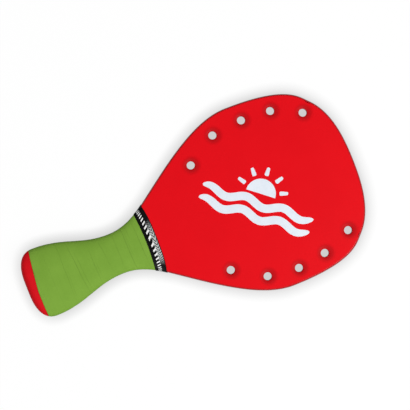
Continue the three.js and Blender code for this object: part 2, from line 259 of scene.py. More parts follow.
def sweep_faces(count, size, ends):
    """Quads between count sections of size points each. Ends are 'loop' where the last section meets the
    first, 'caps' for a flat face on each end, or 'poles' for a fan to one more point at each end."""
    r = np.arange(count if ends == "loop" else count - 1)[:, None]
    i = np.arange(size)[None, :]
    here, there, following = r * size, ((r + 1) % count) * size, (i + 1) % size
    corners = [here + i, here + following, there + following, there + i]
    faces = np.stack(corners, -1).reshape(-1, 4).tolist()
    last = (count - 1) * size
    if ends == "caps":
        faces += [list(range(size))[::-1], list(range(last, last + size))]
    if ends == "poles":
        faces += [[count * size, (k + 1) % size, k] for k in range(size)]
        faces += [[count * size + 1, last + k, last + (k + 1) % size] for k in range(size)]
    return faces


def sweep(name, sections, material, ends, poles=(), **more):
    """A piece from an array of sections, each a closed ring of points."""
    count, size = sections.shape[:2]
    points = np.concatenate([sections.reshape(-1, 3), np.reshape(poles, (-1, 3))])
    return make_piece(name, points, sweep_faces(count, size, ends), material, **more)


# Colours and materials


def linear(colour):
    """An sRGB hex colour as linear RGBA."""
    values = [int(colour[i : i + 2], 16) / 255 for i in (1, 3, 5)]
    return [v / 12.92 if v <= 0.04045 else ((v + 0.055) / 1.055) ** 2.4 for v in values] + [1.0]


def add(tree, kind, settings=(), links=()):
    """Adds a node. A setting is a property of the node or, by name or number, an input's value; a link
    brings another node's output to an input."""
    node = tree.nodes.new(kind)
    for key, value in dict(settings).items():
        if isinstance(key, str) and hasattr(node, key):
            setattr(node, key, value)
        else:
            node.inputs[key].default_value = value
    for key, source in dict(links).items():
        tree.links.new(source, node.inputs[key])
    return node


def new_material(name):
    """A material whose node tree is still empty, and the tree."""
    material = bpy.data.materials.new(name)
    material.use_nodes = True
    material.node_tree.nodes.clear()
    return material, material.node_tree


def close_material(tree, settings, links):
    """Ends a tree in its surface shader."""
    shader = add(tree, "ShaderNodeBsdfPrincipled", settings, links)
    add(tree, "ShaderNodeOutputMaterial", {}, {"Surface": shader.outputs["BSDF"]})


def own_place(tree):
    """The place in the piece's own frame, in metres."""
    return add(tree, "ShaderNodeTexCoord").outputs["Object"]


def tape_place(tree):
    """The place on a tape, from its map."""
    return add(tree, "ShaderNodeUVMap", {"uv_map": "UVMap"}).outputs["UV"]


def drawn_out(tree, place, share):
    """A place whose first axis is shortened to a share, so that what lies on it is drawn out."""
    settings = {"Scale": (share, 1.0, 1.0)}
    return add(tree, "ShaderNodeMapping", settings, {"Vector": place}).outputs["Vector"]


def painted_shade_at(tree):
    """How much painted shade lies at each point: a darker colour that stands for shade."""
    return add(tree, "ShaderNodeAttribute", {"attribute_name": "pool"}).outputs["Fac"]


def noise(tree, where, size, detail=2.0):
    """Noise whose blotches are about size across, in metres."""
    settings = {"Scale": 1 / size, "Detail": detail}
    return add(tree, "ShaderNodeTexNoise", settings, {"Vector": where}).outputs["Fac"]


def ramp(tree, value, stops):
    """A colour ramp from stops of place and hex colour."""
    node = add(tree, "ShaderNodeValToRGB", {}, {"Fac": value})
    elements = node.color_ramp.elements
    while len(elements) < len(stops):
        elements.new(1.0)
    for element, (place, colour) in zip(elements, stops):
        element.position = place
        element.color = linear(colour)
    return node.outputs["Color"]


def mix(tree, share, first, second):
    """One colour passing into another one by a share. A colour is a socket or a hex colour."""
    settings, links = {"data_type": "RGBA"}, {0: share}
    for key, colour in ((6, first), (7, second)):
        if isinstance(colour, str):
            settings[key] = linear(colour)
        else:
            links[key] = colour
    return add(tree, "ShaderNodeMix", settings, links).outputs[2]


def spread(tree, value, low, high, from_low=0.0, from_high=1.0, kind="LINEAR"):
    """Maps a value's range onto another one."""
    settings = {"interpolation_type": kind, "From Min": from_low, "From Max": from_high}
    settings.update({"To Min": low, "To Max": high})
    return add(tree, "ShaderNodeMapRange", settings, {"Value": value}).outputs["Result"]


def math_node(tree, operation, a, b=0.0):
    """A sum or other step on sockets or numbers."""
    settings, links = {"operation": operation}, {}
    for key, x in ((0, a), (1, b)):
        if isinstance(x, (int, float)):
            settings[key] = float(x)
        else:
            links[key] = x
    return add(tree, "ShaderNodeMath", settings, links).outputs[0]


def times(tree, product, *others):
    """The product of sockets and numbers."""
    for other in others:
        product = math_node(tree, "MULTIPLY", product, other)
    return product


def band(tree, value, low, high, soft):
    """1 between low and high, fading over soft on both sides."""
    rise = spread(tree, value, 0.0, 1.0, low - soft, low + soft, "SMOOTHSTEP")
    fall = spread(tree, value, 1.0, 0.0, high - soft, high + soft, "SMOOTHSTEP")
    return times(tree, rise, fall)


def bump(tree, height, distance):
    """A bump whose full height is distance, in metres."""
    return add(tree, "ShaderNodeBump", {"Distance": distance}, {"Height": height}).outputs["Normal"]


LACQUER_RED = [(0.25, "#dd0c17"), (0.75, "#e20d18")]
LACQUER_PAINTED_SHADE = "#8a060b"
GLOSS_WANDER = 0.03


def lacquer(name, roughness, sheen):
    """Polyester lacquer sprayed on glass laminate: even, deep colour, a satin gloss and the faint orange
    peel that spraying leaves."""
    material, tree = new_material(name)
    where = own_place(tree)
    # Round the holes and along the rim a deeper red is painted in as shade
    coat = ramp(tree, noise(tree, where, 50 * MM, 3.0), LACQUER_RED)
    tone = mix(tree, painted_shade_at(tree), coat, LACQUER_PAINTED_SHADE)
    gloss = spread(tree, noise(tree, where, 18 * MM, 3.0), roughness, roughness + GLOSS_WANDER)
    # Orange peel cells are about 1.5 mm across and 4 microns deep
    peel = bump(tree, noise(tree, where, 1.5 * MM, 1.0), 4 * MICRON)
    close_material(
        tree,
        {"IOR": 1.48, "Specular IOR Level": sheen},
        {"Base Color": tone, "Roughness": gloss, "Normal": peel},
    )
    return material


def moulded_rubber(name):
    """Thermoplastic rubber, injection moulded and spark-eroded to a fine grain: a darker red than the
    lacquer, half matt."""
    material, tree = new_material(name)
    where = own_place(tree)
    tone = ramp(tree, noise(tree, where, 12 * MM), [(0.3, "#d10b17"), (0.7, "#d80d19")])
    # The grain's cells are about 0.25 mm across and 12 microns deep
    grain = bump(tree, noise(tree, where, 0.25 * MM), 12 * MICRON)
    close_material(
        tree,
        {"IOR": 1.5, "Roughness": 0.55, "Specular IOR Level": 0.1},
        {"Base Color": tone, "Normal": grain},
    )
    return material


# Creases in the overgrip: number of turns to their middle, half their length in turns, distance from
# the lap's edge and half their width. The map's X goes on by TAPE_PER_TURN each turn.
CREASES = [
    (2.3, 0.05, 2.9 * MM, 0.2 * MM),
    (3.25, 0.08, 4.7 * MM, 0.3 * MM),
    (5.27, 0.04, 3.1 * MM, 0.2 * MM),
    (8.2, 0.07, 2.6 * MM, 0.25 * MM),
    (8.13, 0.04, 6.2 * MM, 0.3 * MM),
]
TAPE_PER_TURN = 0.2
CREASE_ENDS = 0.01
CREASE_SIDES = 0.3 * MM
LAP_SHADE_LINE = (0.6 * MM, 1.1 * MM)
LAP_SHADE_SHARE = 0.5


def overgrip_tape(name):
    """Tacky polyurethane overgrip on felt, embossed with a pebble grain: an even, matt green with a soft
    sheen at glancing angles, and faint stretch creases along the tape. A darker green is painted along the
    laps and in the creases as shade."""
    material, tree = new_material(name)
    along = tape_place(tree)
    plain = ramp(tree, noise(tree, own_place(tree), 20 * MM, 3.0), [(0.3, "#739d31"), (0.7, "#79a336")])
    # Painted shade darkens a line along each lap, about 0.8 mm wide, as far as the lap's edge stands out
    split = add(tree, "ShaderNodeSeparateXYZ", {}, {"Vector": along})
    wound, lap = split.outputs["X"], split.outputs["Y"]
    lap_shade = times(tree, spread(tree, lap, 1.0, 0.0, *LAP_SHADE_LINE), painted_shade_at(tree))
    # Short creases beside the laps, where the tape was pulled hardest
    fold = None
    for middle, half, off, wide in CREASES:
        ends = [(middle - half) * TAPE_PER_TURN, (middle + half) * TAPE_PER_TURN]
        place = band(tree, wound, *ends, CREASE_ENDS)
        line = times(tree, place, band(tree, lap, off - wide, off + wide, CREASE_SIDES))
        fold = line if fold is None else math_node(tree, "MAXIMUM", fold, line)
    # The creases are darkened with the same painted shade as the laps
    lap_shade = times(tree, math_node(tree, "MAXIMUM", lap_shade, fold), LAP_SHADE_SHARE)
    # Pebbles are about 0.45 mm across, stretch lines are 1.6 mm apart, and the relief is 30 microns high
    settings = {"feature": "SMOOTH_F1", "Scale": 1 / (0.45 * MM)}
    pebbles = add(tree, "ShaderNodeTexVoronoi", settings, {"Vector": along}).outputs["Distance"]
    stretch = noise(tree, drawn_out(tree, along, 0.12), 1.6 * MM)
    relief = math_node(tree, "ADD", times(tree, pebbles, 0.5), stretch)
    relief = math_node(tree, "SUBTRACT", relief, times(tree, fold, 1.5))
    close_material(
        tree,
        {
            "IOR": 1.46,
            "Roughness": 0.72,
            "Specular IOR Level": 0.25,
            "Sheen Weight": 0.05,
            "Sheen Roughness": 0.5,
        },
        # The darker green #64892a is the painted shade along the laps and in the creases
        {"Base Color": mix(tree, lap_shade, plain, "#64892a"), "Normal": bump(tree, relief, 30 * MICRON)},
    )
    return material


# The tape's print. Dashes: how many to a turn, how far they slant, the inked share of each one's room
# and their borders across the tape. Hatch: the same, with zigzags for the slant, and its patch round
# the neck, whose silver is partly print and partly a painted highlight. Three numbers are from, to and how
# softly.
DASHES = 44
DASH_SLANT = 1.5
DASH_INK = (0.2, 0.6, 0.03)
DASH_BORDERS = (0.29, 0.58, 0.015)
HATCH_LINES = 84
HATCH_ZIGZAGS = 5
HATCH_INK = (0.2, 0.8, 0.1)
HATCH_BORDERS = (0.52, 0.93, 0.04)
HATCH_AND_HIGHLIGHT_PATCH = (0.18, 0.33, 0.035)
HATCH_AND_HIGHLIGHT_SHARE = 0.9


def printed_tape(name):
    """Printed black PVC finishing tape, rolled film: near-black with a white row of slanted dashes near
    its grip side and a silver chevron hatch in one patch on the blade side, whose silver is partly print
    and partly a painted highlight."""
    material, tree = new_material(name)
    split = add(tree, "ShaderNodeSeparateXYZ", {}, {"Vector": tape_place(tree)})
    around, across = math_node(tree, "FRACT", split.outputs["X"]), split.outputs["Y"]

    def strokes(count, shift, ink, borders):
        """Lines across the tape, moved on by a shift: 1 where they are inked."""
        beat = math_node(tree, "FRACT", math_node(tree, "ADD", times(tree, around, count), shift))
        return times(tree, band(tree, beat, *ink), band(tree, across, *borders))

    # Dashes are about 4.8 mm apart and slanted
    row = strokes(DASHES, times(tree, across, DASH_SLANT), DASH_INK, DASH_BORDERS)
    # Chevrons: a zigzag of lines about 2.5 mm apart, inside a silver patch that is partly print and partly
    # a painted highlight
    zigzag = math_node(tree, "PINGPONG", times(tree, across, HATCH_ZIGZAGS), 1.0)
    hatch = strokes(HATCH_LINES, zigzag, HATCH_INK, HATCH_BORDERS)
    hatch_and_highlight = times(tree, hatch, band(tree, around, *HATCH_AND_HIGHLIGHT_PATCH), HATCH_AND_HIGHLIGHT_SHARE)
    tone = mix(tree, row, mix(tree, hatch_and_highlight, "#060607", "#c3c9c7"), "#eef0ee")
    # The film's skin waves by 20 microns
    film = bump(tree, noise(tree, own_place(tree), 1.2 * MM), 20 * MICRON)
    close_material(
        tree,
        {"IOR": 1.53, "Roughness": 0.4, "Specular IOR Level": 0.06},
        {"Base Color": tone, "Normal": film},
    )
    return material


def screen_ink(name):
    """White screen-print ink: opaque, flat and a little more matt than the lacquer under it."""
    material, tree = new_material(name)
    where = own_place(tree)
    tone = ramp(tree, noise(tree, where, 10 * MM), [(0.3, "#dae2ec"), (0.7, "#e1e8f1")])
    # The screen's mesh leaves cells of about 0.3 mm
    weave = bump(tree, noise(tree, where, 0.3 * MM, 1.0), 3 * MICRON)
    close_material(
        tree,
        {"IOR": 1.48, "Roughness": 0.5, "Specular IOR Level": 0.35},
        {"Base Color": tone, "Normal": weave},
    )
    return material


def cut_foam(name, cell, dark, pale):
    """Closed-cell foam, sawn: dead matt, with the open halves of its cells."""
    material, tree = new_material(name)
    cells = add(tree, "ShaderNodeTexVoronoi", {"Scale": 1 / cell}, {"Vector": own_place(tree)})
    cells = cells.outputs["Distance"]
    tone = ramp(tree, cells, [(0.1, dark), (0.6, pale)])
    pits = bump(tree, cells, 0.3 * cell)
    close_material(tree, {"IOR": 1.5, "Roughness": 0.95}, {"Base Color": tone, "Normal": pits})
    return material


def sanded_wood(name):
    """Poplar, sanded and glued: straight grain along the handle, pale brown between darker lines."""
    material, tree = new_material(name)
    drawn = drawn_out(tree, own_place(tree), 0.06)
    # Growth rings are about 2.5 mm apart and pores 0.2 mm wide
    rings = noise(tree, drawn, 2.5 * MM, 3.0)
    pores = bump(tree, noise(tree, drawn, 0.2 * MM), 50 * MICRON)
    tone = ramp(tree, rings, [(0.3, "#b8946a"), (0.5, "#c8a877"), (0.7, "#d6bb8d")])
    close_material(tree, {"IOR": 1.5, "Roughness": 0.8}, {"Base Color": tone, "Normal": pores})
    return material


blade_lacquer = lacquer("sprayed_polyester_lacquer", 0.24, 0.17)
lip_lacquer = lacquer("dull_lacquer_in_the_holes", 0.45, 0.08)
cap_rubber = moulded_rubber("moulded_rubber")
grip_material = overgrip_tape("embossed_polyurethane_tape")
tape_material = printed_tape("printed_pvc_tape")
ink_material = screen_ink("screen_print_ink")
core_material = cut_foam("sawn_foam_core", 0.8 * MM, "#cfc8b4", "#ece6d6")
cushion_material = cut_foam("skived_foam_rubber", 0.6 * MM, "#1d1f20", "#303335")
wood_material = sanded_wood("sanded_poplar")

# The blade

RIM_STEPS = 200
RIM_ARC = 24
HOLE_SIDES = 72
MOUTH_STEPS = 12
BORE_STEPS = 3
FACE_RINGS = np.array([9.5, 10.4, 11.3, 12.3, 13.4, 14.5]) * MM
FACE_CREASE = 10
TANG_END = BAND_START - 2 * MM
TANG_STEP = 12

# Painted shade round the holes and on the rim, a darker red that stands for shade: its share at a hole's
# mouth, the radii where it is full and where it ends, how it fades, how far its middle lies off the
# hole's, and how it fades from the rim
HOLE_SHADE = 0.48
HOLE_SHADE_FULL = 8.2 * MM
HOLE_SHADE_END = 13.3 * MM
HOLE_SHADE_FADE = 1.3
HOLE_SHADE_DRIFT = np.array([1.1, -0.45]) * MM
RIM_SHADE_FADE = 0.8


def blade_line(depth):
    """The blade's outline from the neck on the +Y side round the tip and back, at a depth: the outline's
    curve moved in along its normals, evenly spaced."""
    on_blade = PLAN[:, 0] >= BAND_START
    points = PLAN[on_blade]
    run = np.concatenate([[0], np.cumsum(np.hypot(*np.diff(points, axis=0).T))])
    even = np.linspace(0, run[-1], RIM_STEPS + 1)

    def pick(values):
        return np.stack([np.interp(even, run, column) for column in values.T], 1)

    normals = pick(PLAN_NORMALS[on_blade])
    normals /= np.hypot(*normals.T)[:, None]
    line = pick(points) - depth * normals
    line[-1, 1] = 0
    return np.concatenate([line, line[-2::-1] * [1, -1]])


def rim_profile():
    """The rim's section as depth and height: flat to where the rounding begins, round the edge as
    depth = r (1 - sin^(2/n)) and z = h cos^(2/n), and back along the core with a step for each sheet."""
    angle = np.linspace(0, math.pi, RIM_ARC + 1)
    power = 2 / RIM_EXPONENT
    depth = RIM_ROUNDING * (1 - np.sin(angle) ** power)
    height = BLADE_HALF * np.sign(np.cos(angle)) * np.abs(np.cos(angle)) ** power
    return np.array(
        [(FACE_EDGE, BLADE_HALF)]
        + list(zip(depth, height))
        + [(FACE_EDGE, -BLADE_HALF), (FACE_EDGE, -SHEET_BACK), (BAND_DEPTH, -SHEET_BACK)]
        + [(BAND_DEPTH, SHEET_BACK), (FACE_EDGE, SHEET_BACK)]
    )


def make_rim():
    """The rim's section carried round the blade's outline."""
    profile = rim_profile()
    rings = []
    for depth, height in profile:
        line = blade_line(depth)
        rings.append(np.column_stack([line, np.full(len(line), height)]))
    sections = np.stack(rings, 1)
    # Painted shade on the rim, full at its outer edge and fading to nothing where the flat begins
    pool = np.clip((FACE_EDGE - profile[:, 0]) / FACE_EDGE, 0, 1) ** RIM_SHADE_FADE
    pool = np.broadcast_to(pool, sections.shape[:2])
    return sweep("rim_moulding", sections, blade_lacquer, "caps", pool=pool)


def hole_places():
    """Five pairs of air holes along the rim: x = pair's place + lean * y, and y = +-reach + drift."""
    x = HANDLE_LENGTH + HOLE_ALONG * BLADE_LENGTH
    reach = HOLE_ACROSS * np.interp(x, PLAN[:, 0], PLAN[:, 1])
    y = np.stack([reach, -reach], 1)
    drift = HOLE_DRIFT[:, None] * 2 * BLADE_HALF_WIDTH
    return np.stack([(x[:, None] + HOLE_LEAN[:, None] * y).ravel(), (y + drift).ravel()], 1)


def circle(centre, radius):
    """Points evenly round a centre in the plan."""
    angle = np.linspace(0, 2 * math.pi, HOLE_SIDES, endpoint=False)
    return centre + radius * np.stack([np.cos(angle), np.sin(angle)], 1)


def pool_share(flat, place):
    """How much painted shade lies at points round a hole: full near the mouth and fading outwards, from a
    middle that lies off the hole's on one side."""
    radius = np.hypot(*np.moveaxis(flat - place - HOLE_SHADE_DRIFT, -1, 0))
    return HOLE_SHADE * np.clip((HOLE_SHADE_END - radius) / (HOLE_SHADE_END - HOLE_SHADE_FULL), 0, 1) ** HOLE_SHADE_FADE


def make_face(name, side):
    """A face sheet: the blade's flat as far as the rim's rounding, ten holes ringed by finer strips, and
    the tang that runs under the handle to the butt. Two flats, one a sheet's thickness under the other,
    and walls between them."""
    tang = PLAN - TANG_INSET * PLAN_NORMALS
    tang = tang[PLAN[:, 0] < TANG_END][::TANG_STEP]
    outline = np.concatenate([tang, blade_line(FACE_EDGE), (tang * [1, -1])[::-1]])[::-1]
    places = hole_places()
    loops = [outline] + [circle(place, FACE_RINGS[-1]) for place in places]
    flat = np.concatenate(loops + [circle(place, r) for place in places for r in FACE_RINGS[:-1]])
    count = len(flat)
    # The flat between the outline and the holes' outer rings, its triangles all turned the same way
    fill = np.array(tessellate_polygon([[(*p, 0.0) for p in loop] for loop in loops]))
    (ax, ay), (bx, by), (cx, cy) = (flat[fill[:, k]].T for k in range(3))
    turned = (bx - ax) * (cy - ay) < (by - ay) * (cx - ax)
    fill[turned] = fill[turned][:, ::-1]
    # Strips between each hole's rings, and the border lines that the walls go down from
    corner, edge = np.arange(len(outline)), np.arange(HOLE_SIDES)
    following = (edge + 1) % HOLE_SIDES
    strips, borders = [], [np.stack([corner, (corner + 1) % len(outline)], 1)]
    inner = len(FACE_RINGS) - 1
    for hole in range(len(places)):
        first = len(outline) + HOLE_SIDES * (len(places) + inner * hole)
        starts = [first + HOLE_SIDES * k for k in range(inner)] + [len(outline) + HOLE_SIDES * hole]
        for near, far in zip(starts, starts[1:]):
            strips.append(np.stack([near + edge, far + edge, far + following, near + following], 1))
        borders.append(np.stack([first + following, first + edge], 1))
    strips, (a, b) = np.concatenate(strips), np.concatenate(borders).T
    faces = fill.tolist() + strips.tolist()
    faces += (fill[:, ::-1] + count).tolist() + (strips[:, ::-1] + count).tolist()
    faces += np.stack([a + count, b + count, b, a], 1).tolist()
    heights = side * BLADE_HALF, side * (BLADE_HALF - FACE_SHEET)
    points = np.concatenate([np.column_stack([flat, np.full(count, z)]) for z in heights])
    # Painted shade round the holes
    pool = np.max([pool_share(flat, place) for place in places], 0)
    return make_piece(name, points, faces, blade_lacquer, FACE_CREASE, pool=np.tile(pool, 2))


def lip_profile():
    """A lip's section as radius and height: a flat flange, the mouth's quarter ellipse, the bore, and the
    same again at the back, with the tube's outside between."""
    angle = np.linspace(0, math.pi / 2, MOUTH_STEPS + 1)
    radius = HOLE_MOUTH - (HOLE_MOUTH - HOLE_BORE) * np.sin(angle)
    height = BLADE_HALF - HOLE_MOUTH_DEPTH * (1 - np.cos(angle))
    bore = np.linspace(height[-1], 0, BORE_STEPS + 1)[1:-1]
    front = (
        [(HOLE_TUBE, SHEET_BACK), (LIP_FLANGE, SHEET_BACK), (LIP_FLANGE, BLADE_HALF)]
        + list(zip(radius, height))
        + [(HOLE_BORE, z) for z in bore]
    )
    return np.array(front + [(r, -z) for r, z in front[::-1]])


def make_lip(name, place):
    """A lip's section carried round the hole's axis."""
    angle = np.linspace(0, 2 * math.pi, HOLE_SIDES, endpoint=False)[:, None]
    radius, height = lip_profile().T
    x, y = place[0] + radius * np.cos(angle), place[1] + radius * np.sin(angle)
    sections = np.stack([x, y, np.broadcast_to(height, x.shape)], -1)
    # Painted shade round the mouth
    pool = pool_share(sections[..., :2], place)
    return sweep(name, sections, lip_lacquer, "loop", pool=pool)


# The front's print: a half sun over two waves, white, about 146 mm by 72 mm. Its sizes are in mm.
PRINT_CENTRE = np.array([315, 2]) * MM
PRINT_TILT = math.radians(-39.2)
PRINT_HEIGHT = 0.05 * MM
PRINT_FILM = 0.9 * PRINT_HEIGHT
PRINT_STEPS = 144
WAVE_ROWS = (-11.0, -27.5)
WAVE_LENGTH = 146
WAVE_HALF_WIDTH = 5.2
WAVE_RISE = 3.8
WAVE_CRESTS = 3
WAVE_PHASE = 0.5
SUN_RADIUS = 19
SUN_BASE = 1.5
RAY_ANGLES = (18, 54, 90, 126, 162)
RAY_START = 23.5
RAY_LENGTH = 11
RAY_HALF_WIDTH = 2.8
RAY_NARROWING = 0.8
LEAST_HALF_WIDTH = 0.02


def make_print():
    """Flat patches of ink. Each is a strip whose middle line, half width and direction are given along its
    length: a wave is a sine line, a ray a straight one, and the half sun is as wide as its circle."""
    along = np.linspace(0, 1, PRINT_STEPS + 1)

    def taper(power):
        return np.sqrt(np.clip(1 - np.abs(2 * along - 1) ** power, 0, 1))

    strips = []
    for row in WAVE_ROWS:
        rise = WAVE_RISE * np.sin(WAVE_CRESTS * 2 * math.pi * along + WAVE_PHASE)
        middle = np.stack([(along - 0.5) * WAVE_LENGTH, row + rise], 1)
        strips.append((middle, WAVE_HALF_WIDTH * taper(8), np.gradient(middle, axis=0)))
    half = SUN_RADIUS * taper(2) / 2
    strips.append((np.stack([(2 * along - 1) * SUN_RADIUS, SUN_BASE + half], 1), half, (1.0, 0.0)))
    for angle in RAY_ANGLES:
        middle = [0, SUN_BASE] + (RAY_START + RAY_LENGTH * along)[:, None] * heading(angle)
        width = (RAY_HALF_WIDTH - RAY_NARROWING * along) * taper(10)
        strips.append((middle, width, heading(angle)))
    points, faces = [], []
    for middle, width, way in strips:
        way = np.broadcast_to(way, middle.shape)
        out = np.stack([-way[:, 1], way[:, 0]], 1) / np.hypot(*way.T)[:, None]
        out *= np.maximum(width, LEAST_HALF_WIDTH)[:, None]
        i = 2 * (len(along) * len(points) + np.arange(PRINT_STEPS))
        points.append(np.stack([middle - out, middle + out], 1).reshape(-1, 2))
        faces += np.stack([i, i + 2, i + 3, i + 1], 1).tolist()
    c, s = math.cos(PRINT_TILT), math.sin(PRINT_TILT)
    flat = PRINT_CENTRE + np.concatenate(points) * MM @ np.array([[c, s], [-s, c]])
    top = np.column_stack([flat, np.full(len(flat), BLADE_HALF + PRINT_HEIGHT)])
    piece = make_piece("front_print", top, faces, ink_material, closed=False, smooth=False)
    thick = piece.modifiers.new("ink", "SOLIDIFY")
    thick.thickness = PRINT_FILM
    thick.offset = -1
    return piece


# The handle

# The cap: the gap to the overgrip's start, the thickness of its walls and floor, the skirt under the
# overgrip, and its rounded shoulder as depth and distance back from the edge
CAP_GAP = 0.35 * MM
CAP_WALL = 4.2 * MM
SKIRT_DEPTH = 1.9 * MM
SKIRT_START = 19 * MM
SKIRT_END = 24 * MM
SHOULDER = np.array([(0.02, 0.2), (0.08, 0.07), (0.22, 0.0), (1.0, 0.0), (1.9, 0.0)]) * MM
CAP_STEPS = 8
CAP_RINGS = 28
CAP_CROWDING = 2.2
SKIRT_RINGS = 6
CUP_RINGS = 12

CUSHION_START = 24.3 * MM
CUSHION_OUTSIDE = 1.95 * MM
CUSHION_INSIDE = 4.2 * MM
CUSHION_STEPS = 6
CUSHION_RINGS = 70


def even_turns(steps):
    """Shares of a turn, with a number of steps from each station to the next."""
    return np.arange(STATIONS * steps) / (STATIONS * steps)


def make_cap():
    """A cup over the handle's end: rings from the flat end to the overgrip's start, a rounded shoulder, a
    thin skirt under the overgrip, and the inside back to the cup's floor."""
    turn = even_turns(CAP_STEPS)
    across, lean, rise = section_shares(turn)
    edge = settle(turn, grip_start_line) - CAP_GAP
    rings = []
    # The rings crowd towards the flat end, where the corners are round
    for share in np.linspace(0, 1, CAP_RINGS + 1)[:-1] ** CAP_CROWDING:
        x = edge * share
        width = np.interp(x, PLAN[:, 0], PLAN[:, 1])
        height = np.maximum(np.interp(x, SIDE[:, 0], SIDE[:, 1]), BLADE_HALF)
        rings.append(np.stack([x, across * width, lean * BLADE_HALF + rise * (height - BLADE_HALF)], -1))
    rings += [skin_points(depth, turn, edge - back) for depth, back in SHOULDER]
    skirt = np.linspace(SKIRT_START, SKIRT_END, SKIRT_RINGS)
    cup = np.linspace(SKIRT_END, CAP_WALL, CUP_RINGS)
    rings += [skin_points(SKIRT_DEPTH, turn, x) for x in skirt]
    rings += [skin_points(CAP_WALL, turn, x) for x in cup]
    poles = [(0, 0, 0), (CAP_WALL, 0, 0)]
    return sweep("butt_cap_moulding", np.stack(rings), cap_rubber, "poles", poles)


def make_cushion():
    """The soft sleeve under the overgrip: rings along the outside and back along the inside."""
    turn = even_turns(CUSHION_STEPS)
    places = np.linspace(CUSHION_START, WRAPS_END, CUSHION_RINGS)
    outside = [skin_points(CUSHION_OUTSIDE, turn, x) for x in places]
    inside = [skin_points(CUSHION_INSIDE, turn, x) for x in places[::-1]]
    return sweep("grip_cushion", np.stack(outside + inside), cushion_material, "loop")


# How the hand-wound tape lies: number of turns, how far its edge runs ahead of an even pitch in mm, and
# how much of the lap's step stands out on the front
LAPS = [
    (0, 0, 0.3), (1.12, 3.6, 0.25), (1.34, 2.8, 0.2),
    (2.12, 8.2, 0.7), (2.23, 6.4, 0.6), (2.34, 4.2, 0.3),
    (3.12, 6.2, 0.8), (3.23, 7.4, 1), (3.34, 8.2, 0.8),
    (4.12, 4.6, 0.1), (4.34, 2.6, 0.06),
    (5.12, 0.2, 0.15), (5.23, -1.6, 0.7), (5.34, -2.6, 0.4),
    (6.12, -0.6, 0.9), (6.23, 0.4, 0.4), (6.34, 1.2, 0.1),
    (7.12, 3.2, 0.5), (7.23, 2.2, 0.5), (7.34, 0.8, 0.4),
    (8.12, 1.2, 1), (8.23, 0.1, 0.9), (8.34, -1, 1),
    (9.12, 2, 0.7), (9.23, 1.6, 0.9), (9.34, 0.8, 0.5), (11, 0, 0.3),
]
LAP_TURNS, LAP_AHEAD, LAP_SHOWN = np.array(LAPS).T
BACK_STAND = 0.8
SIDE_STAND = 0.3

# The overgrip's section: the lap's step, the near edge's rounding as place and depth in mm, and ridges
# along the top, as turns across the tape, turns for each turn wound, and share
LAP_STEP = 0.3 * MM
NEAR_EDGE = [(0, 0.24), (0.07, 0.08), (0.22, 0.02), (0.7, 0.015)]
EDGE_END = 0.7 * MM
RIDGE_HEIGHT = 0.05 * MM
RIDGES = [(2.1, 0.83, 1.0), (1.2, -1.37, 0.7)]
GRIP_STEPS = 6
TOP_SHARES = np.linspace(0.08, 1, 13)
LEAST_WIDTH = 0.25 * MM
FULL_WIDTH = 3 * MM

# Under the next turn it runs on as a tail. Depths of the tail's tops and underside, of the underside over
# the turn before and of the whole grip. The underside lies on the turn before as far as LAP_REACH and is
# down again at LAP_FOOT: a length, or a share of the whole width where that is less.
LAP_TAIL = 7 * MM
LEAST_TAIL = 0.05 * MM
TAIL_TOPS = (0.53 * MM, 0.58 * MM)
TAIL_UNDER = 0.6 * MM
LAP_UNDER = (0.44 * MM, 0.46 * MM)
GRIP_THICKNESS = 1.75 * MM
LAP_REACH = (7.3 * MM, 0.7)
LAP_FOOT = (8.4 * MM, 0.8)
SHORT_LAP = 8.6 * MM


def between_laps(turn, values):
    """A value at a number of turns: from knot to knot it passes as 3 s^2 - 2 s^3."""
    turns = np.clip(turn, 0, LAP_TURNS[-1] - 1e-6)
    k = np.searchsorted(LAP_TURNS, turns, side="right") - 1
    s = (turns - LAP_TURNS[k]) / (LAP_TURNS[k + 1] - LAP_TURNS[k])
    return values[k] + (values[k + 1] - values[k]) * s**2 * (3 - 2 * s)


def wrap_reach(turn):
    """Where the tape's far edge lies after a number of turns: the pitch and the hand's wander."""
    return GRIP_START + WRAP_PITCH * turn + between_laps(turn, LAP_AHEAD) * MM


def lap_stand(turn):
    """The share of a lap's step that stands out at a number of turns: most in the middle of each side,
    and little round the narrow edges, where the pull lays the tape flat."""
    rise = section_shares(turn)[2]
    middle = np.where(rise > 0, between_laps(turn, LAP_SHOWN), BACK_STAND)
    return middle * (SIDE_STAND + (1 - SIDE_STAND) * rise**2)


